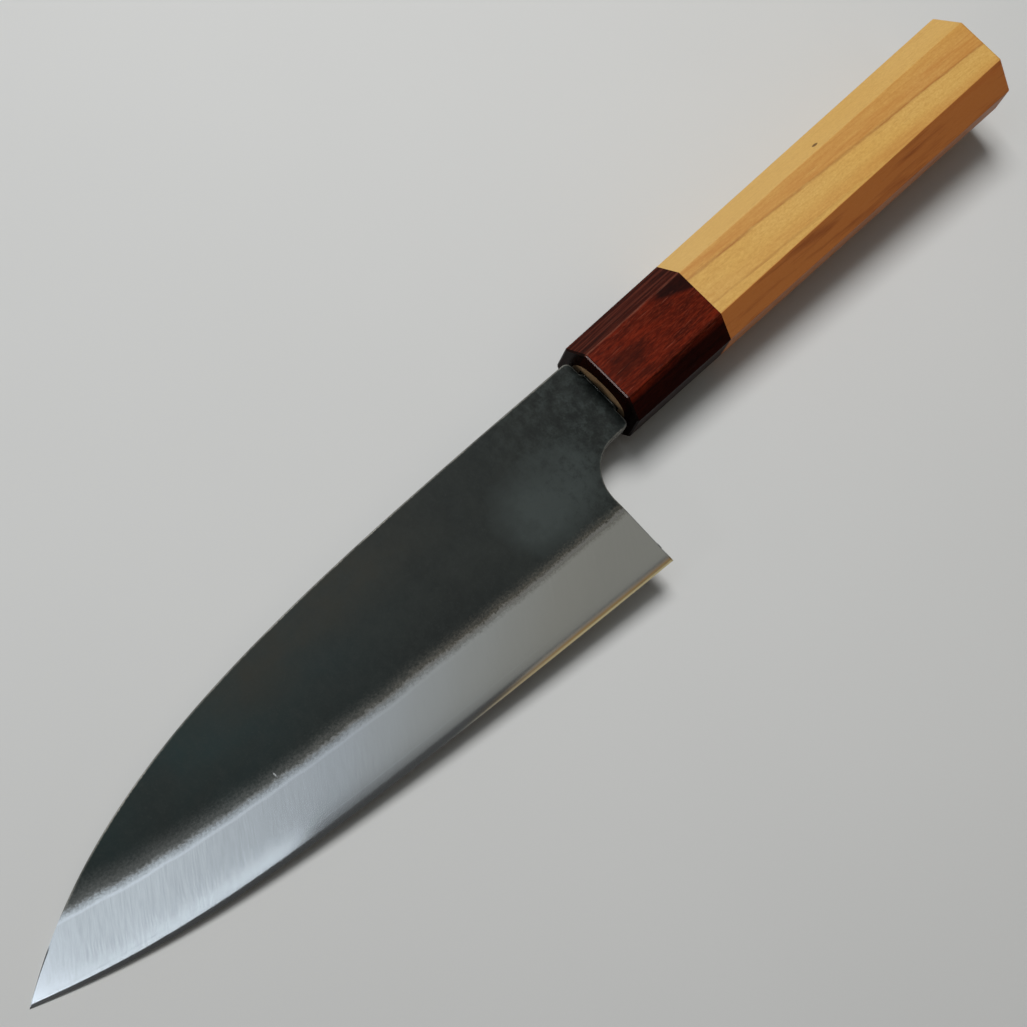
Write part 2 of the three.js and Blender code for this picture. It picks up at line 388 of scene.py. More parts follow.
def flat_pattern(name, rows):
    points, faces, before = [], [], None
    for x, first, ys in rows:
        here = {first + i: len(points) + i for i in range(len(ys))}
        points += [(x, y) for y in ys]
        for j in here:
            if before and {j, j + 1} <= before.keys() and j + 1 in here:
                faces.append((before[j], here[j], here[j + 1], before[j + 1]))
        before = here
    mesh = bpy.data.meshes.new(name)
    mesh.from_pydata([(x, y, 0) for x, y in points], [], faces)
    flat = np.array(points)
    edge = np.array([height_at(EDGE, min(x, heel_x)) for x, _, ys in rows for _ in ys])
    rim = np.minimum(distances(flat, lower_rim), distances(flat, upper_rim))
    for key, values in (("above", flat[:, 1] - edge), ("rim", rim)):
        mesh.attributes.new(key, "FLOAT", "POINT").data.foreach_set("value", values)
    return mesh


def front_of_cladding():
    """Where the spine comes out of the core: the foremost point of the soft iron."""
    low, high = tip_x, heel_x
    for _ in range(40):
        middle = (low + high) / 2
        if height_at(SPINE, middle) - height_at(EDGE, middle) < bared_height(middle, WELD_GAP):
            low = middle
        else:
            high = middle
    return high


def cladding_keys(x):
    bared = bared_height(x, WELD_GAP)
    return [bared, max(bared, bevel_at(x))]


def core_keys(x):
    depth = height_at(SPINE, x) - height_at(EDGE, x)
    return [0, HONED_WIDTH, max(HONED_WIDTH, min(bared_height(x, 0), depth - EASE))]


cladding_rows = layer_rows(front_of_cladding(), cladding_keys, [26])
core_rows = layer_rows(tip_x, core_keys, [6, 16])
patterns = {
    "left_cladding": flat_pattern("left_cladding", cladding_rows),
    "right_cladding": flat_pattern("right_cladding", cladding_rows),
    "core": flat_pattern("core", core_rows),
}
print({name: len(mesh.vertices) for name, mesh in patterns.items()}, "points in the patterns")

# %% [markdown]
# ## Geometry Nodes: lifting a pattern into a ground layer
# The pattern could be given its thickness vertex by vertex in Python. As a node tree the grind keeps its
# named sizes, so a fuller bevel is one number in the modifier. The tree makes a lid and a floor from the
# pattern, moves both to the height the grind allows between the layer's own floor and ceiling, welds what
# touches, and lays the layer down in the frame.

# %% Inputs and outputs of a tree


def new_tree(name):
    tree = bpy.data.node_groups.new(name, "GeometryNodeTree")
    tree.interface.new_socket("Geometry", in_out="INPUT", socket_type="NodeSocketGeometry")
    tree.interface.new_socket("Geometry", in_out="OUTPUT", socket_type="NodeSocketGeometry")
    return Plan(tree)


def size(plan, name, value=0.0, kind="NodeSocketFloat"):
    """A named input of a tree."""
    socket = plan.tree.interface.new_socket(name, in_out="INPUT", socket_type=kind)
    if kind == "NodeSocketFloat":
        socket.default_value = value
    return plan.node("NodeGroupInput", output=name)


def lay_down(plan, shape):
    """The end of each tree: from the knife's axes in millimetres into the frame, with its finish."""
    places = {"Geometry": shape, "Translation": origin, "Rotation": (0, tilt, 0), "Scale": (MM, MM, MM)}
    lying = plan.node("GeometryNodeTransform", None, places)
    finish = size(plan, "Finish", kind="NodeSocketMaterial")
    dressed = plan.node("GeometryNodeSetMaterial", None, {"Geometry": lying, "Material": finish})
    real = plan.node("GeometryNodeRealizeInstances", None, {"Geometry": dressed})
    plan.tree.nodes.new("NodeGroupOutput")
    plan.tree.links.new(real.socket, plan.tree.nodes["Group Output"].inputs[0])
    return plan.tree


def grown(name, start, tree, sizes):
    """Runs a tree on a start mesh and keeps what it makes as a plain mesh."""
    piece = bpy.data.objects.new(name, start)
    modifier = piece.modifiers.new("shape", "NODES")
    modifier.node_group = tree
    for item in tree.interface.items_tree:
        if item.in_out == "INPUT" and item.name in sizes:
            modifier[item.identifier] = sizes[item.name]
    scene.collection.objects.link(piece)
    made = piece.evaluated_get(bpy.context.evaluated_depsgraph_get())
    mesh = bpy.data.meshes.new_from_object(made)
    piece.modifiers.clear()
    piece.data = mesh
    mesh.name = name
    return piece


print("tree helpers ready")

# %% The tree for a ground layer


def ground_layer():
    plan = new_tree("ground layer")
    bevel_width = size(plan, "Bevel Width", BEVEL_WIDTH)
    fullness = size(plan, "Fullness", FULLNESS)
    edge_roll = size(plan, "Edge Roll", EDGE_ROLL)
    neck = size(plan, "Neck Thickness", NECK_THICKNESS)
    point = size(plan, "Tip Thickness", TIP_THICKNESS)
    floor_share = size(plan, "Floor Share")
    ceiling_share = size(plan, "Ceiling Share")
    gap = size(plan, "Weld Gap")

    pattern = plan.node("NodeGroupInput", output="Geometry")
    lifting = {"Mesh": pattern, "Offset": (0, 0, 1), "Individual": False}
    lid = plan.node("GeometryNodeExtrudeMesh", None, lifting)
    floor = plan.node("GeometryNodeFlipFaces", None, {"Mesh": pattern})
    box = plan.node("GeometryNodeJoinGeometry", None, {"Geometry": [lid, floor]})
    closed = plan.node("GeometryNodeMergeByDistance", None, {"Geometry": box, "Distance": 1e-5})

    place = plan.node("GeometryNodeInputPosition")
    x, y, is_lid = (plan.node("ShaderNodeSeparateXYZ", None, {0: place}, axis) for axis in "XYZ")
    above = plan.node("GeometryNodeInputNamedAttribute", {"data_type": "FLOAT"}, {"Name": "above"})
    rim = plan.node("GeometryNodeInputNamedAttribute", {"data_type": "FLOAT"}, {"Name": "rim"})

    thick = plan.ramp(x, tip_x, SHOULDER_X, point, neck)
    thick = thick - (neck - TANG_END_THICKNESS) * plan.ramp(x, SHOULDER_X, TANG_LENGTH)
    cheek = thick / 2
    bevel = bevel_width + HEEL_FLARE * plan.ramp(x, tip_x, heel_x) ** FLARE_FADE
    rise = plan.limited((above - HONED_WIDTH) / (bevel - HONED_WIDTH), 0.0, 1.0)
    half = HONED_HALF + (cheek - HONED_HALF) * rise * (1 + fullness * (1 - rise))
    half = plan.math("SMOOTH_MIN", half, above * (HONED_HALF / HONED_WIDTH), edge_roll * cheek)
    half = plan.math("MAXIMUM", half, 0.0)
    ease = EASE * cheek / (NECK_THICKNESS / 2)
    bite = plan.ramp(rim, 0, ease, 1, 0)
    rounded = half - ease * (1 - plan.math("SQRT", 1 - bite * bite))
    half = plan.math("MAXIMUM", rounded, half / 2)

    low = floor_share * cheek + gap
    high = ceiling_share * cheek + gap
    lid_z = plan.limited(half, low, high)
    floor_z = plan.limited(0 - half, low, high)
    z = floor_z + (lid_z - floor_z) * is_lid
    spot = plan.node("ShaderNodeCombineXYZ", None, {"X": x, "Y": y, "Z": z})
    line = {"Geometry": closed, "Name": "line", "Value": above - bevel}
    marked = plan.node("GeometryNodeStoreNamedAttribute", {"data_type": "FLOAT", "domain": "POINT"}, line)
    lifted = plan.node("GeometryNodeSetPosition", None, {"Geometry": marked, "Position": spot})
    welded = plan.node("GeometryNodeMergeByDistance", None, {"Geometry": lifted, "Distance": 1e-4})
    return lay_down(plan, welded)


layer_tree = ground_layer()
print("tree for a ground layer:", len(layer_tree.nodes), "nodes")

# %% [markdown]
# ## Finishes in the knife's axes
# A finish is easiest to place where it is measured, so each material turns Object coordinates back into
# the knife's axes in millimetres with one Mapping node. Wood grain, scratches and forge scale are noises that
# are stretched along one direction, and colours are mixed between a few tones taken from the real thing.

# %% Helpers for finishes


def new_finish(name):
    material = bpy.data.materials.new(name)
    material.use_nodes = True
    material.node_tree.nodes.clear()
    return material, Plan(material.node_tree)


def knife_axes(plan):
    coordinates = plan.node("ShaderNodeTexCoord", output="Object")
    places = {"Vector": coordinates, "Location": origin, "Rotation": (0, tilt, 0), "Scale": (MM, MM, MM)}
    return plan.node("ShaderNodeMapping", {"vector_type": "TEXTURE"}, places)


def parts_of(plan, vector):
    return [plan.node("ShaderNodeSeparateXYZ", None, {0: vector}, axis) for axis in "XYZ"]


def turned(plan, vector, angle):
    """A place turned about the knife's Z axis."""
    sockets = {"Vector": vector, "Angle": angle}
    return plan.node("ShaderNodeVectorRotate", {"rotation_type": "Z_AXIS"}, sockets)


def noise(plan, vector, per_mm, detail=2.0, roughness=0.5):
    """A noise between 0 and 1 with that many swings per millimetre along each axis."""
    scaled = plan.node("ShaderNodeVectorMath", {"operation": "MULTIPLY"}, {0: vector, 1: per_mm})
    sockets = {"Vector": scaled, "Scale": 1.0, "Detail": detail, "Roughness": roughness}
    return plan.node("ShaderNodeTexNoise", None, sockets)


def blended(plan, share, first, second):
    """A colour between two colours."""
    ends = [color if isinstance(color, Wire) else (*color, 1.0) for color in (first, second)]
    settings = {"data_type": "RGBA", "clamp_factor": True}
    return plan.node("ShaderNodeMix", settings, {0: share, 6: ends[0], 7: ends[1]}, 2)


def raised(plan, height, distance, strength=1.0):
    """A normal bent by a height in metres times distance."""
    sockets = {"Height": height, "Distance": distance, "Strength": strength}
    return plan.node("ShaderNodeBump", None, sockets)


def surface(plan, sockets):
    shader = plan.node("ShaderNodeBsdfPrincipled", None, sockets)
    plan.node("ShaderNodeOutputMaterial", None, {"Surface": shader})


def srgb(red, green, blue):
    """A colour as read off a picture, made linear."""
    shares = (red / 255, green / 255, blue / 255)
    return tuple(c / 12.92 if c < 0.0404 else ((c + 0.055) / 1.055) ** 2.4 for c in shares)


print("finish helpers ready")

# %% [markdown]
# ## Ground steel
# The bevel and the bare core come off the same stones, so they share one set of marks: fine, slanted
# scratches, clearest towards the tip, where a painted highlight also whitens the steel. One noise, stretched
# along the scratches, draws them all. The iron and the core each mix this steel with what else they show.

# %% Ground steel
SCRATCH_LEAN = 35
STEEL_ROUGHNESS = 0.097


def ground_steel(plan, spot):
    """Colour, roughness and height of the stones' marks, with a painted highlight at the tip."""
    slanted = turned(plan, spot, math.radians(SCRATCH_LEAN))
    scratches = noise(plan, slanted, (4.0, 0.2, 0.5), 4.0, 0.65)
    x = plan.node("ShaderNodeSeparateXYZ", None, {0: spot}, "X")
    marks = (scratches - 0.5) * plan.ramp(x, -85, -150, 0.15, 0.9)
    color = blended(plan, 0.5 + marks * 2.5, srgb(195, 197, 197), srgb(217, 219, 219))
    # Painted highlight: the last millimetres of the tip turn near white.
    color = blended(plan, plan.ramp(x, -158, -180) ** 2.2, color, srgb(248, 250, 252))
    return color, STEEL_ROUGHNESS + marks * 0.03, marks


print("ground steel ready")

# %% [markdown]
# ## Black cheeks and ground bevel
# On the real blade the black skin stops at the bevel in a soft, speckled border, because grinding wears it
# thin before it cuts through. The layer carries the distance from the bevel line as an attribute, so one
# material can show both: one mask turns scale into bright steel, a wider one thins the scale above it, and a
# fine noise breaks up both. Along the rim the scale is rubbed off, which draws a thin light line. Light and
# shade are also painted in: a painted highlight just below the bevel line towards the tip, a painted sheen
# in a lighter patch near the heel, and painted shade on the scale next to the bevel line.

# %% Forged iron


def forged_iron():
    material, plan = new_finish("forged_iron")
    spot = knife_axes(plan)
    x, y, _ = parts_of(plan, spot)
    line = plan.node("ShaderNodeAttribute", {"attribute_name": "line"}, None, "Fac")
    rim = plan.node("ShaderNodeAttribute", {"attribute_name": "rim"}, None, "Fac")
    speckle = noise(plan, spot, (1.5, 1.9, 1.5), 5.0, 0.8)
    drift = noise(plan, spot, (0.1, 0.06, 0.1), 2.0)
    border = line + (drift - 0.5) * 1.2 + plan.ramp(x, -140, -20, 0.0, 1.1)
    steel = plan.ramp(border + (speckle - 0.5) * 3.0, 1.3, -1.2, curve="SMOOTHSTEP")
    nick = ((x + 114.1) / 0.2) ** 2 + ((y + 14.5) / 0.8) ** 2
    steel = plan.math("MAXIMUM", steel, plan.ramp(nick, 1.2, 0.4, 0.0, 0.3))
    tail = plan.ramp(x, heel_x, -110, 3.6, 5.2) + plan.ramp(x, -115, -155, 0.0, 2.0)
    worn = plan.ramp((border + (speckle - 0.5) * 6.0) / tail, 1.0, 0.0) ** 2.4

    mottle = noise(plan, spot, (0.09, 0.11, 0.2), 5.0, 0.62)
    cloud = noise(plan, spot, (0.04, 0.06, 0.1), 3.0)
    crust = noise(plan, spot, (0.5, 0.42, 0.5), 5.0, 0.75)
    grain = noise(plan, spot, (2.2, 2.2, 2.0), 3.0, 0.65)
    tipward = plan.ramp(x, -60, -125)
    near_neck = plan.ramp(x, -34, -10)
    # Painted sheen: a soft lighter patch on the cheek near the heel.
    painted_sheen_patch = plan.ramp(((x + 27) / 17) ** 2 + ((y + 10) / 12) ** 2 + (mottle - 0.5) * 1.6, 1.0, 0.0)
    scale = blended(plan, plan.ramp(mottle, 0.36, 0.66), srgb(15, 22, 19), srgb(33, 37, 34))
    scale = blended(plan, plan.ramp(cloud, 0.36, 0.56, 0.3, 0.75) * tipward, scale, srgb(20, 42, 42))
    olive = plan.ramp(x, -45, -70) * plan.ramp(x, -125, -105) * plan.ramp(y, -4, 4)
    scale = blended(plan, olive * plan.ramp(mottle, 0.36, 0.6, 0.3, 0.8), scale, srgb(42, 42, 35))
    # Painted shade: the scale darkens next to the bevel line, except near the heel.
    scale = blended(plan, plan.ramp(line, 13, 3) * plan.ramp(x, -42, -58) * 0.55, scale, srgb(6, 13, 11))
    scale = blended(plan, painted_sheen_patch * 0.85, scale, srgb(58, 65, 63))
    scale = blended(plan, plan.ramp(crust, 0.42, 0.68, 0.0, 0.3), scale, srgb(40, 45, 42))
    scale = blended(plan, plan.ramp(crust, 0.5, 0.36) * near_neck * 0.7, scale, srgb(3, 6, 5))
    scale = blended(plan, plan.ramp(crust, 0.5, 0.66) * near_neck * 0.5, scale, srgb(56, 63, 61))
    scale = blended(plan, plan.ramp(grain, 0.55, 0.8, 0.0, 0.3), scale, srgb(52, 56, 53))
    dull = blended(plan, tipward, srgb(112, 107, 97), srgb(110, 112, 110))
    scale = blended(plan, worn * 0.9, scale, dull)
    rubbed = plan.ramp(rim + (speckle - 0.5) * 0.6, 0.42, 0.16) * plan.ramp(drift, 0.3, 0.6, 0.4, 1.0)
    scale = blended(plan, rubbed * 0.8, scale, srgb(136, 134, 127))
    bright, steel_rough, marks = ground_steel(plan, spot)
    # Painted highlight: a thin brighter line just below the bevel line, towards the tip.
    painted_glint = plan.ramp(plan.math("ABSOLUTE", border + 1.2), 0.5, 0.1) * tipward
    bright = blended(plan, painted_glint * 0.5, bright, srgb(236, 238, 240))

    scale_rough = 0.48 + (mottle - 0.5) * 0.2
    smoothed = plan.ramp(border + (speckle - 0.5) * 3.0, 2.4, 1.0, curve="SMOOTHSTEP")
    bumps = (grain * 0.5 + crust * near_neck) * (1 - smoothed) + marks * 0.01
    surface(plan, {
        "Base Color": blended(plan, steel, scale, bright),
        "Metallic": plan.math("MAXIMUM", plan.ramp(steel, 0.0, 0.5, 0.0, 0.98), rubbed * 0.6),
        "Roughness": scale_rough + (steel_rough - scale_rough) * smoothed,
        "Normal": raised(plan, bumps, 0.00004, 0.5),
        "Specular IOR Level": 0.1,
    })
    return material


iron_finish = forged_iron()
print("finish:", iron_finish.name, len(iron_finish.node_tree.nodes), "nodes")

# %% [markdown]
# ## The hard core
# The core shows as a strip along the edge, from the same stones as the bevel. At the very edge the honed
# facet carries a painted reflection of warm light: a golden tint with a brown border above it and a pale
# painted highlight at the edge itself, all fading towards the tip. On the spine, between the two layers of
# iron, the core is brushed and dull.

# %% Core steel


def core_steel():
    material, plan = new_finish("core_steel")
    spot = knife_axes(plan)
    x, _, _ = parts_of(plan, spot)
    above = plan.node("ShaderNodeAttribute", {"attribute_name": "above"}, None, "Fac")
    bright, rough, marks = ground_steel(plan, spot)
    heelward = plan.ramp(x, -78, -44)
    # Painted reflection of warm light near the heel: brown, then gold, then a pale painted highlight at the
    # edge.
    color = blended(plan, plan.ramp(above, 1.7, 1.0) * heelward * 0.6, bright, srgb(176, 138, 98))
    color = blended(plan, plan.ramp(above, 1.0, 0.75) * heelward * 0.9, color, srgb(206, 172, 118))
    color = blended(plan, plan.ramp(above, 0.6, 0.35) * heelward * 0.9, color, srgb(250, 236, 196))
    brushed = plan.ramp(above, 6, 9) * plan.ramp(x, -168, -156)
    surface(plan, {
        "Base Color": blended(plan, brushed, color, srgb(142, 140, 134)),
        "Metallic": 0.98,
        "Roughness": rough + brushed * 0.3,
        "Normal": raised(plan, marks, 0.0000004, 0.5),
    })
    return material


core_finish = core_steel()
print("finish:", core_finish.name)

# %% The three layers of the blade
BLADE_LAYERS = {
    "left_cladding": ("cladding_left", "clad_iron", iron_finish, CORE_SHARE, 2.0, WELD_GAP),
    "core": ("core_steel", "core_steel", core_finish, -CORE_SHARE, CORE_SHARE, 0.0),
    "right_cladding": ("cladding_right", "clad_iron", iron_finish, -2.0, -CORE_SHARE, -WELD_GAP),
}

for name, (node, slot, finish, floor, ceiling, gap) in BLADE_LAYERS.items():
    sizes = {"Finish": finish, "Floor Share": floor, "Ceiling Share": ceiling, "Weld Gap": gap}
    layer = grown(name, patterns[name], layer_tree, sizes)
    layer.data.shade_smooth()
    layer.data.set_sharp_from_angle(angle=math.radians(2.5))
    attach(layer, "root")
    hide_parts(node)
    print(name, len(layer.data.polygons), "faces")

# %% [markdown]
# ## Geometry Nodes: a tapered octagon
# The handle is planed to eight flats that widen towards the butt, first through the dark ferrule and then
# through the pale body. A cylinder with a few sides could be scaled at its ends, but the corner flats don't
# grow in step with the rest. Here a fine cylinder is bent instead: its points are shared out over the eight
# corners, each a small round between two flats, and the two end rings are drawn in to round the rims.

# %% The tree for a handle piece
FRONT_HEIGHT = 23.3
BUTT_HEIGHT = 25.8
FRONT_CORNER = 4.9
BUTT_CORNER = 6.3
CORNER_STEPS = 4
RIM_STEPS = 5
DRILL_LEAD = 1.0


def eight_flats():
    plan = new_tree("eight flats")
    start = size(plan, "Start")
    end = size(plan, "End")
    start_rim = size(plan, "Start Rim")
    end_rim = size(plan, "End Rim")
    roundness = size(plan, "Rim Roundness")
    arris = size(plan, "Arris")
    bore_end = size(plan, "Bore End")
    bore_height = size(plan, "Bore Height")
    bore_thickness = size(plan, "Bore Thickness")
    fullness = size(plan, "Bore Fullness", 2.0)

    around = 8 * (CORNER_STEPS + 1)
    rings = 2 * RIM_STEPS + 1
    sockets = {"Vertices": around, "Side Segments": rings, "Radius": 1.0, "Depth": 1.0}
    bar = plan.node("GeometryNodeMeshCylinder", {"fill_type": "NGON"}, sockets)
    place = plan.node("GeometryNodeInputPosition")
    px, py, pz = (plan.node("ShaderNodeSeparateXYZ", None, {0: place}, axis) for axis in "XYZ")
    turns = plan.math("FRACT", plan.math("ARCTAN2", py, px) / math.tau + 0.5 / around + 1)
    index = plan.math("FLOOR", turns * around)
    corner = plan.math("FLOOR", (index + 0.5) / (CORNER_STEPS + 1))
    within = (index - corner * (CORNER_STEPS + 1)) / CORNER_STEPS

    ring = plan.math("ROUND", (pz + 0.5) * rings)

    def rim_curve(step):
        """How far a ring is in from the end and from the side, as shares of the rim: flat or round."""
        share = plan.limited(step / RIM_STEPS, 0.0, 1.0)
        angle = share * math.radians(90)
        inward = share + (1 - plan.math("COSINE", angle) - share) * roundness
        sideways = 1 - share + (share - plan.math("SINE", angle)) * roundness
        return inward, sideways

    start_inward, start_inset = rim_curve(ring)
    end_inward, end_inset = rim_curve(rings - ring)
    first_half = plan.math("LESS_THAN", ring, RIM_STEPS + 0.5)
    start_x = start + start_rim * start_inward
    end_x = end - end_rim * end_inward
    x = end_x + (start_x - end_x) * first_half
    inset = start_rim * start_inset + end_rim * end_inset

    along = x / HANDLE_LENGTH
    half_height = (FRONT_HEIGHT + (BUTT_HEIGHT - FRONT_HEIGHT) * along) / 2
    half_thickness = (FRONT_THICKNESS + (BUTT_THICKNESS - FRONT_THICKNESS) * along) / 2
    leg = FRONT_CORNER + (BUTT_CORNER - FRONT_CORNER) * along
    slanted = (half_height + half_thickness - leg) * math.sqrt(0.5)

    def flat_distance(side):
        odd = plan.math("MODULO", side, 2)
        upright = plan.math("COMPARE", plan.math("MODULO", side, 4), 2, 0.1)
        straight = half_height + (half_thickness - half_height) * upright
        return straight + (slanted - straight) * odd - inset - arris

    near = flat_distance(corner)
    far = flat_distance(corner + 1)
    facing = corner * math.radians(45)
    sideways = (far - near * math.sqrt(0.5)) / math.sqrt(0.5)
    bend = facing + within * math.radians(45)
    face_cos, face_sin = plan.math("COSINE", facing), plan.math("SINE", facing)
    y = near * face_cos - sideways * face_sin + arris * plan.math("COSINE", bend)
    z = near * face_sin + sideways * face_cos + arris * plan.math("SINE", bend)
    spot = plan.node("ShaderNodeCombineXYZ", None, {"X": x, "Y": y, "Z": z})
    shaped = plan.node("GeometryNodeSetPosition", None, {"Geometry": bar, "Position": spot})

    sockets = {"Vertices": 96, "Radius": 0.5, "Depth": 1.0}
    drill = plan.node("GeometryNodeMeshCylinder", {"fill_type": "NGON"}, sockets)

    def filled_out(part):
        """A place across a round bore, moved outwards as the bore's fullness asks."""
        return plan.math("SIGN", part) * plan.math("ABSOLUTE", 2 * part) ** (2 / fullness) / 2

    drill_x = (bore_end + 2 * DRILL_LEAD) * (pz + 0.5) - DRILL_LEAD
    drill_y = filled_out(px) * bore_height
    drill_z = filled_out(py) * bore_thickness
    drill_spot = plan.node("ShaderNodeCombineXYZ", None, {"X": drill_x, "Y": drill_y, "Z": drill_z})
    drilled = plan.node("GeometryNodeSetPosition", None, {"Geometry": drill, "Position": drill_spot})
    cut = {"Mesh 1": shaped, "Mesh 2": drilled}
    bored = plan.node("GeometryNodeMeshBoolean", {"operation": "DIFFERENCE", "solver": "EXACT"}, cut)
    return lay_down(plan, bored)


handle_tree = eight_flats()
print("tree for a handle piece:", len(handle_tree.nodes), "nodes")

# %% [markdown]
# ## Honey-coloured wood
# The handle is a light wood with a straight, fine grain that crosses the handle's axis at a small angle. A
# solid texture suits it, because grain that runs through the piece meets itself at every corner. Two growth
# rings run along it, each starting with a dark line and fading. The lower flats are painted darker and redder
# as shade, with darker grain streaks in them, and the flat at the spine is painted lighter as light. The
# butt shows end grain, with the rings as arcs about a heart that lies outside the piece.

# %% Handle wood
GRAIN_SLOPE = 0.045
RING_STEP = 2.8


def honey_wood():
    material, plan = new_finish("honey_wood")
    spot = knife_axes(plan)
    x, y, z = parts_of(plan, spot)
    along = turned(plan, spot, GRAIN_SLOPE)
    warp = noise(plan, along, (0.012, 0.05, 0.05), 2.0)
    across = y + GRAIN_SLOPE * x + (warp - 0.5) * 1.0
    fibres = noise(plan, along, (0.09, 1.6, 1.6), 4.0, 0.6)
    flecks = noise(plan, along, (0.5, 2.0, 2.0), 3.0, 0.6)
    silk = noise(plan, along, (1.2, 2.4, 2.4), 3.0, 0.65)
    cloud = noise(plan, along, (0.03, 0.12, 0.12), 3.0)
    pores = plan.ramp(noise(plan, along, (0.3, 5.5, 5.5), 2.0), 0.67, 0.75)

    frayed = across + (fibres - 0.5) * 1.4 + (flecks - 0.5) * 1.2
    late_wood = plan.ramp(frayed, 5.2, 5.7) * plan.ramp(frayed, 13.0, 8.0, 0.55, 1.0)
    late_wood = late_wood * plan.ramp(y, 6.75, 6.45)
    next_ring = plan.ramp(frayed, -2.4, -1.8) * plan.ramp(frayed, 1.5, -0.5)
    next_ring = next_ring * plan.ramp(x, 40, 105, 0.3, 1.0)
    streaky = plan.ramp(fibres, 0.3, 0.65, 0.5, 1.0)
    line = plan.ramp(plan.math("ABSOLUTE", across - 5.43 + (fibres - 0.5) * 0.8), 0.5, 0.1)
    low_line = plan.ramp(plan.math("ABSOLUTE", across + 2.3 + (fibres - 0.5) * 0.8), 0.45, 0.1)
    shaded_lower_flats = plan.ramp(y, -6.45, -6.75)

    color = blended(plan, plan.ramp(cloud, 0.3, 0.7), srgb(213, 167, 85), srgb(216, 174, 97))
    color = blended(plan, plan.ramp(silk, 0.38, 0.68, 0.0, 0.55), color, srgb(190, 140, 64))
    color = blended(plan, plan.ramp(flecks, 0.4, 0.7, 0.0, 0.3), color, srgb(190, 138, 64))
    color = blended(plan, plan.ramp(fibres, 0.5, 0.75, 0.0, 0.35), color, srgb(184, 130, 58))
    # Painted light: the flat at the spine is lighter, less so towards the butt.
    painted_light_spine_flat = plan.ramp(y, 6.4, 6.8) * plan.ramp(x, 40, 110, 0.55, 0.25)
    color = blended(plan, painted_light_spine_flat, color, srgb(212, 174, 108))
    color = blended(plan, late_wood * streaky * 0.62, color, srgb(182, 112, 44))
    color = blended(plan, next_ring * streaky * 0.45, color, srgb(182, 112, 44))
    color = blended(plan, line * streaky * 0.6, color, srgb(146, 82, 28))
    color = blended(plan, low_line * streaky * plan.ramp(x, 95, 60) * 0.45, color, srgb(156, 96, 38))
    # Painted shade: the lower flats are darker and redder, with darker streaks of grain in them.
    color = blended(plan, shaded_lower_flats * 0.85, color, srgb(178, 96, 39))
    ribbons = noise(plan, along, (0.035, 0.5, 0.5), 4.0, 0.65)
    color = blended(plan, shaded_lower_flats * plan.ramp(ribbons, 0.5, 0.68) * 0.6, color, srgb(128, 58, 24))
    color = blended(plan, pores * 0.35, color, srgb(138, 86, 36))
    knot = ((x - 82) / 0.95) ** 2 + ((y - 8.2) / 0.36) ** 2 + plan.ramp(z, 0, -1, 0, 9)
    color = blended(plan, plan.ramp(knot, 1.2, 0.5) * 0.8, color, srgb(70, 34, 12))
    from_heart = plan.math("SQRT", (y + 24) ** 2 + (z + 15) ** 2) + (cloud - 0.5) * 1.5
    ring = plan.math("FRACT", from_heart / RING_STEP)
    end_grain = blended(plan, ring ** 2.5, srgb(198, 150, 80), srgb(160, 106, 48))
    end_grain = blended(plan, plan.ramp(silk, 0.5, 0.7, 0.0, 0.5), end_grain, srgb(150, 98, 44))
    at_butt = plan.ramp(x, HANDLE_LENGTH - 0.15, HANDLE_LENGTH - 0.05)
    color = blended(plan, at_butt, color, end_grain)
    surface(plan, {
        "Base Color": color,
        "Roughness": 0.5 + (fibres - 0.5) * 0.16,
        "Normal": raised(plan, fibres * 0.5 - pores * 0.5, 0.00005, 0.5),
        "Specular IOR Level": 0.25,
    })
    return material


wood_finish = honey_wood()
print("finish:", wood_finish.name)
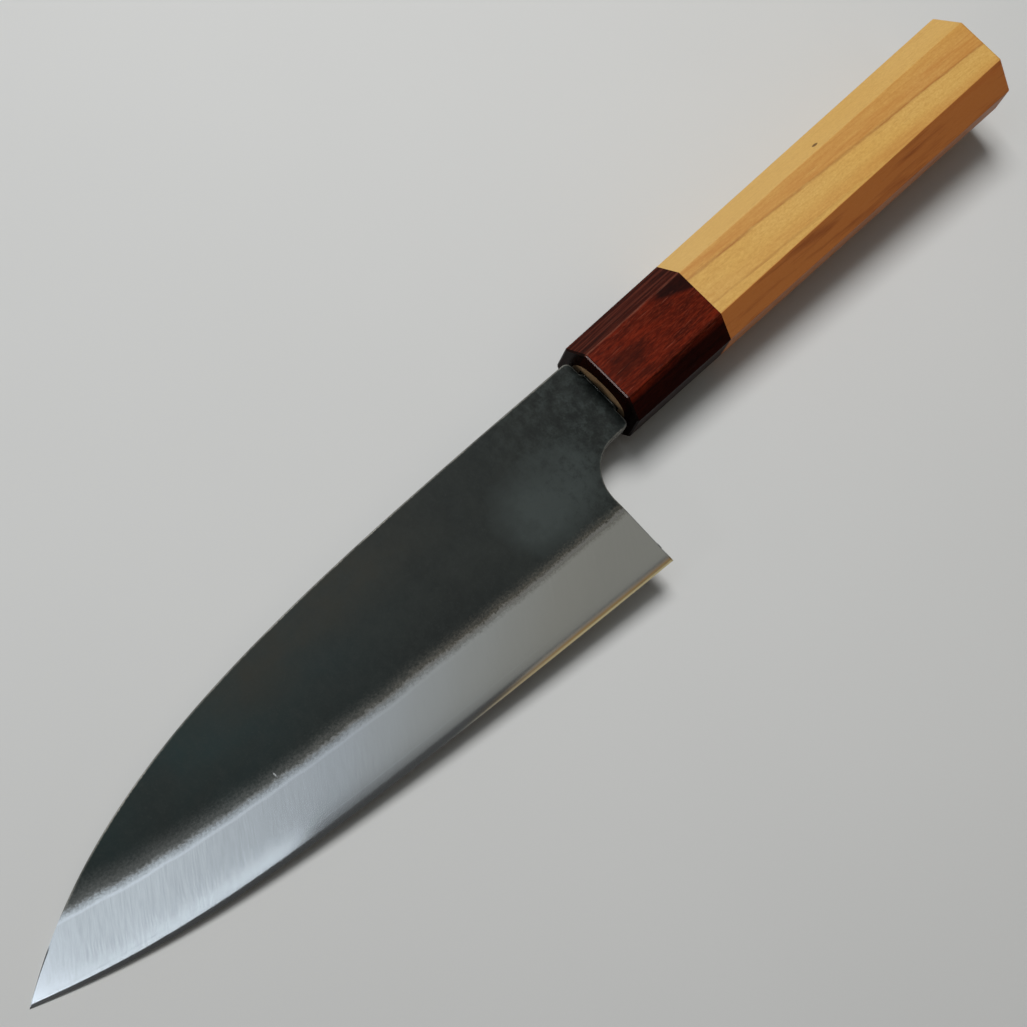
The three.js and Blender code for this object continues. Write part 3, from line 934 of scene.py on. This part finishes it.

# %% [markdown]
# ## Dark ferrule wood
# The ferrule is a dense red-brown wood with nearly black streaks, fine flecks and short, open pores. Its two
# dark patches, a smoky oval in front and a wedge at the joint, are placed by plain distances. Only the broken
# front rim shines, so the clear coat is kept to it, and a lighter colour is painted on it as a highlight, as
# on the arris at the spine. Painted shade darkens the lower flat, the flat at the spine and the front end.

# %% Ferrule wood


def dark_wood():
    material, plan = new_finish("dark_wood")
    spot = knife_axes(plan)
    x, y, z = parts_of(plan, spot)
    streaks = noise(plan, spot, (0.07, 0.34, 0.34), 5.0, 0.62)
    fine = noise(plan, spot, (0.2, 1.7, 1.7), 4.0, 0.65)
    pores = plan.ramp(noise(plan, spot, (0.14, 3.0, 3.0), 2.0), 0.67, 0.73)
    lines = noise(plan, spot, (0.03, 1.1, 1.1), 3.0, 0.6)
    flecks = noise(plan, spot, (0.5, 3.0, 3.0), 3.0, 0.7)
    top = plan.ramp(z, 0, 2)
    color = blended(plan, plan.ramp(streaks, 0.3, 0.6), srgb(60, 16, 7), srgb(103, 29, 11))
    lower_half = plan.ramp(y, 1, -3) * top
    color = blended(plan, plan.ramp(lines, 0.5, 0.62) * lower_half * 0.6, color, srgb(40, 14, 8))
    color = blended(plan, plan.ramp(fine, 0.48, 0.75, 0.0, 0.5), color, srgb(42, 12, 6))
    color = blended(plan, plan.ramp(flecks, 0.5, 0.34, 0.0, 0.5), color, srgb(40, 10, 5))
    color = blended(plan, plan.ramp(flecks, 0.5, 0.68, 0.0, 0.5), color, srgb(122, 48, 28))
    smoky = ((x - 6.5) / 7.5) ** 2 + ((y + 1) / 4.5) ** 2 + (streaks - 0.5) * 3
    color = blended(plan, plan.ramp(smoky, 1.2, 0.2) * top * 0.55, color, srgb(38, 14, 8))
    wedge = y - 5.6 + (x - 21) * 0.36 + (streaks - 0.5) * 2.5
    wedge = plan.ramp(wedge, -0.6, 0.7, curve="SMOOTHSTEP") * plan.ramp(x, 19.5, 24) * plan.ramp(y, 7.2, 6.6)
    color = blended(plan, wedge * top * 0.88, color, srgb(22, 10, 9))
    color = blended(plan, pores * 0.35, color, srgb(146, 78, 58))
    # Painted shade: the lower flat is near black and the flat at the spine darker, with lighter grain lines
    # kept on it.
    shaded_lower_flat = plan.ramp(y + (streaks - 0.5) * 0.8, -6.6, -8.4)
    shaded_spine_flat = plan.ramp(y + (fine - 0.5) * 0.8, 6.6, 7.0)
    color = blended(plan, shaded_lower_flat * 0.9, color, srgb(13, 4, 3))
    color = blended(plan, shaded_spine_flat * 0.75, color, srgb(24, 9, 6))
    color = blended(plan, shaded_spine_flat * plan.ramp(lines, 0.48, 0.62) * 0.7, color, srgb(92, 42, 30))
    # The front end is darker: partly its own end-grain tone, partly painted shade on a face turned from the
    # light.
    color = blended(plan, plan.ramp(x, 0.42, 0.38) * 0.8, color, srgb(14, 11, 9))
    # Painted highlight: a thin light line along the arris between the top flat and the flat at the spine.
    arris = plan.ramp(plan.math("ABSOLUTE", y - 6.73), 0.3, 0.1) * plan.ramp(z, 8.8, 9.2)
    color = blended(plan, arris * plan.ramp(fine, 0.35, 0.6) * 0.45, color, srgb(140, 84, 66))
    # Painted highlight on the broken front rim, which also gets the clear coat.
    lit_rim = plan.ramp(x, 0.34, 0.26) * plan.ramp(x, 0.02, 0.08) * plan.ramp(z, 8, 8.6)
    lit_rim = lit_rim * plan.ramp(y, -6.9, -6.4) * plan.ramp(y, 6.9, 6.5)
    color = blended(plan, lit_rim * 0.8, color, srgb(96, 52, 44))
    surface(plan, {
        "Base Color": color,
        "Roughness": 0.3 + (fine - 0.5) * 0.15,
        "Normal": raised(plan, fine * 0.3 - pores, 0.00004, 0.5),
        "Specular IOR Level": 0.025,
        "Coat Weight": lit_rim * 0.25,
        "Coat Roughness": 0.06,
    })
    return material


ferrule_finish = dark_wood()
print("finish:", ferrule_finish.name)

# %% Ferrule and handle body
FERRULE_LENGTH = 31.4
GLUE_GAP = 0.05
BUTT_RIM = 0.9
ARRIS = 0.3
JOINT_RIM = 0.03
SLOT_ROOM = 0.9
DOWEL_WALL = 2.2
DOWEL_CHEEK = 2.85
DOWEL_FULLNESS = 2.5
DOWEL_END = 8.0
dowel_height = 2 * (tang_half + SLOT_ROOM + DOWEL_WALL)
dowel_thickness = NECK_THICKNESS + 2 * (SLOT_ROOM + DOWEL_CHEEK)
dowel_end = TANG_LENGTH + SLOT_ROOM + DOWEL_END
bore = {
    "Bore Height": dowel_height + 2 * GLUE_GAP, "Bore Thickness": dowel_thickness + 2 * GLUE_GAP,
    "Bore Fullness": DOWEL_FULLNESS, "Arris": ARRIS,
}

HANDLE_PIECES = {
    "polished_ferrule": ("ferrule", "ferrule_wood", {
        "Finish": ferrule_finish, "Start": 0.0, "End": FERRULE_LENGTH, "Start Rim": FRONT_RIM,
        "End Rim": JOINT_RIM, "Rim Roundness": 0.0, "Bore End": FERRULE_LENGTH + 5,
    }),
    "honey_handle": ("handle_body", "handle_wood", {
        "Finish": wood_finish, "Start": FERRULE_LENGTH + GLUE_GAP, "End": HANDLE_LENGTH,
        "Start Rim": JOINT_RIM, "End Rim": BUTT_RIM, "Rim Roundness": 1.0,
        "Bore End": dowel_end + GLUE_GAP - DRILL_LEAD,
    }),
}

for name, (node, slot, sizes) in HANDLE_PIECES.items():
    piece = grown(name, bpy.data.meshes.new(name), handle_tree, sizes | bore)
    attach(piece, "root")
    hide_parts(node)
    print(name, len(piece.data.polygons), "faces")

# %% [markdown]
# ## Dowel and resin
# The end of a pale dowel fills the ferrule's mouth, with the tang set in it. The CAD pieces are good enough
# for these, so they stay and only get a finish: end grain on the dowel, darker beside the tang, and a
# glossy set resin.

# %% Dowel wood and resin


def dowel_wood():
    material, plan = new_finish("dowel_wood")
    spot = knife_axes(plan)
    ends = noise(plan, spot, (0.2, 3.0, 3.0), 3.0, 0.6)
    cloud = noise(plan, spot, (0.05, 0.4, 0.4), 2.0)
    color = blended(plan, plan.ramp(cloud, 0.3, 0.7), srgb(196, 154, 110), srgb(216, 176, 130))
    color = blended(plan, plan.ramp(ends, 0.5, 0.75, 0.0, 0.6), color, srgb(134, 98, 66))
    _, y, z = parts_of(plan, spot)
    bulge = plan.ramp(plan.math("ABSOLUTE", y), 3.0, 0.0, 0.0, 0.9)
    depth = plan.math("ABSOLUTE", z) - bulge + (cloud - 0.5) * 0.8
    # The dowel's end grows darker towards the tang.
    color = blended(plan, plan.ramp(depth, 3.7, 2.4) * 0.85, color, srgb(44, 36, 24))
    surface(plan, {
        "Base Color": color,
        "Roughness": 0.62 + (ends - 0.5) * 0.2,
        "Normal": raised(plan, ends, 0.00006, 0.5),
    })
    return material


def set_resin():
    material, plan = new_finish("set_resin")
    spot = knife_axes(plan)
    cloud = noise(plan, spot, (0.6, 0.6, 0.6), 3.0)
    color = blended(plan, plan.ramp(cloud, 0.35, 0.65), srgb(40, 42, 39), srgb(78, 76, 68))
    surface(plan, {
        "Base Color": color,
        "Roughness": 0.12 + cloud * 0.1,
        "Normal": raised(plan, cloud, 0.0001, 0.4),
    })
    return material


resin_finish = set_resin()
for node, finish in (("tang_dowel", dowel_wood()), ("tang_resin", resin_finish)):
    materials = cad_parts[node].data.materials
    materials.clear()
    materials.append(finish)
    print(node, "gets", finish.name)

# %% [markdown]
# ## Geometry Nodes: the bead of resin
# When the tang was set, a little resin came out of the slot and froze in front of the dowel. A bead that
# follows a path is a curve with a round section, and a noise on its radius keeps it from looking extruded.

# %% The resin bead
BEAD_RADIUS = 0.3


def squeezed_bead():
    plan = new_tree("squeezed bead")
    height = size(plan, "Height")
    thickness = size(plan, "Thickness")
    radius = size(plan, "Radius")
    lump = size(plan, "Lumpiness", 0.6)
    path = plan.node("GeometryNodeCurvePrimitiveQuadrilateral", None, {"Width": height, "Height": thickness})
    soft = {"Curve": path, "Radius": thickness / 3, "Count": 6}
    rounded = plan.node("GeometryNodeFilletCurve", {"mode": "POLY"}, soft)
    fine = plan.node("GeometryNodeResampleCurve", None, {"Curve": rounded, "Count": 160})
    place = plan.node("GeometryNodeInputPosition")
    lumps = plan.node("ShaderNodeTexNoise", None, {"Vector": place, "Scale": 0.7, "Detail": 2.0})
    side = plan.node("ShaderNodeSeparateXYZ", None, {0: place}, "X")
    wide = 0.55 + (lumps - 0.5) * lump * 2 + 0.6 * plan.ramp(side, 0 - height / 4, 0 - height / 2)
    thick = plan.node("GeometryNodeSetCurveRadius", None, {"Curve": fine, "Radius": wide})
    section = plan.node("GeometryNodeCurvePrimitiveCircle", None, {"Resolution": 14, "Radius": radius})
    swept = {"Curve": thick, "Profile Curve": section, "Scale": wide}
    tube = plan.node("GeometryNodeCurveToMesh", None, swept)
    px, py, pz = (plan.node("ShaderNodeSeparateXYZ", None, {0: place}, axis) for axis in "XYZ")
    spot = plan.node("ShaderNodeCombineXYZ", None, {"X": pz - radius * 0.4, "Y": px, "Z": py})
    upright = plan.node("GeometryNodeSetPosition", None, {"Geometry": tube, "Position": spot})
    smooth = plan.node("GeometryNodeSetShadeSmooth", None, {"Geometry": upright})
    return lay_down(plan, smooth)


sizes = {
    "Finish": resin_finish, "Height": 2 * tang_half + SLOT_ROOM, "Thickness": NECK_THICKNESS + SLOT_ROOM,
    "Radius": BEAD_RADIUS,
}
bead = grown("resin_bead", bpy.data.meshes.new("resin_bead"), squeezed_bead(), sizes)
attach(bead, "root")
print(bead.name, len(bead.data.polygons), "faces")

# %% [markdown]
# ## Table and light
# The knife lies on a plain pale table. Polished steel shows what is above it more than what falls on it, so a
# row of level panels hangs over the knife, bright and cool at one end and dim and warm at the other, and the
# bevel mirrors it. A narrow strip beside the row gives the bright band along the edge, and a dim panel fills
# the edge at the heel. A lamp at the spine models the flats of the handle, an amber one warms the heel, and a
# small one past the tip lights the ferrule's front rim.

# %% The table
TABLE_HALF = 2.0


def pale_table():
    material, plan = new_finish("pale_table")
    coordinates = plan.node("ShaderNodeTexCoord", output="Object")
    cloud = plan.node("ShaderNodeTexNoise", None, {"Vector": coordinates, "Scale": 6.0, "Detail": 3.0})
    color = blended(plan, cloud, srgb(205, 205, 203), srgb(212, 212, 210))
    surface(plan, {"Base Color": color, "Roughness": 0.8, "Specular IOR Level": 0.1})
    return material


signs = ((-1, -1), (1, -1), (1, 1), (-1, 1))
corners = [(TABLE_HALF * sign_x, TABLE_HALF * sign_y, 0) for sign_x, sign_y in signs]
table_mesh = bpy.data.meshes.new("table")
table_mesh.from_pydata(corners, [], [(0, 1, 2, 3)])
table_mesh.materials.append(pale_table())
table = bpy.data.objects.new("table", table_mesh)
scene.collection.objects.link(table)
print("table", 2 * TABLE_HALF, "m wide")

# %% Lamps and world


def panel(name, place, facing, width, depth, radiance, tint=(1.0, 1.0, 1.0)):
    """A rectangular lamp that looks equally bright from every side. Unturned it shines straight down."""
    data = bpy.data.lights.new(name, "AREA")
    data.shape = "RECTANGLE"
    data.size, data.size_y = width, depth
    data.energy = radiance * math.pi * width * depth
    data.color = tint
    lamp = bpy.data.objects.new(name, data)
    lamp.matrix_world = Matrix.Translation(place) @ facing
    scene.collection.objects.link(lamp)


def aimed(name, place, aim, width, depth, radiance, tint=(1.0, 1.0, 1.0)):
    facing = (Vector(aim) - Vector(place)).to_track_quat("-Z", "Y").to_matrix().to_4x4()
    panel(name, place, facing, width, depth, radiance, tint)


SLANT = math.radians(-24)
CEILING = 0.65
COOL = Vector((0.82, 0.91, 1.0))
WARM = Vector((1.0, 0.97, 0.83))
AMBER = (1.0, 0.86, 0.66)
ROW_STEPS = 10
ROW_START = -0.075
ROW_STEP = 0.0305
ROW_ENDS = (-0.6, 0.5)
ROW_SIDES = (-0.03, 0.35)
ROW_BRIGHT = 0.78
ROW_DIM = 0.205
ROW_FALL = 1.55


def overhead(name, from_u, to_u, from_v, to_v, radiance, tint):
    """A panel that hangs level, with its edges given along and across the slanted row of panels."""
    row = Matrix.Rotation(SLANT, 4, "Z")
    place = row @ Vector(((from_u + to_u) / 2, (from_v + to_v) / 2, CEILING))
    panel(name, place, row, to_u - from_u, to_v - from_v, radiance, tint)


for i in range(ROW_STEPS + 1):
    share = i / ROW_STEPS
    middle = ROW_START + i * ROW_STEP
    from_u = middle - ROW_STEP / 2 if i > 0 else ROW_ENDS[0]
    to_u = middle + ROW_STEP / 2 if i < ROW_STEPS else ROW_ENDS[1]
    warmth = min(max((share - 0.4) / 0.5, 0.0), 1.0)
    radiance = ROW_DIM + (ROW_BRIGHT - ROW_DIM) * (1 - share) ** ROW_FALL
    overhead(f"row_panel_{i}", from_u, to_u, *ROW_SIDES, radiance, COOL.lerp(WARM, warmth))
overhead("strip_beside_the_row", -0.20, 0.028, -0.036, -0.0255, 3.0, COOL)
overhead("panel_over_the_edge", 0.19, 0.50, -0.24, -0.043, 0.27, WARM)
aimed("lamp_at_the_spine", (0.14, 0.30, 0.68), (0.04, 0.0, 0.0), 0.30, 0.30, 15.0)
aimed("amber_lamp_at_the_heel", (0.26, -0.42, 0.55), (0.05, -0.02, 0.0), 0.36, 0.30, 0.45, AMBER)
aimed("small_lamp_past_the_tip", (-0.432, 0.077, 0.217), (0.02, 0.013, 0.01), 0.06, 0.06, 9.0)

world = bpy.data.worlds.new("studio")
scene.world = world
world.use_nodes = True
background = world.node_tree.nodes["Background"]
background.inputs["Color"].default_value = (0.96, 0.98, 1.0, 1.0)
background.inputs["Strength"].default_value = 0.06
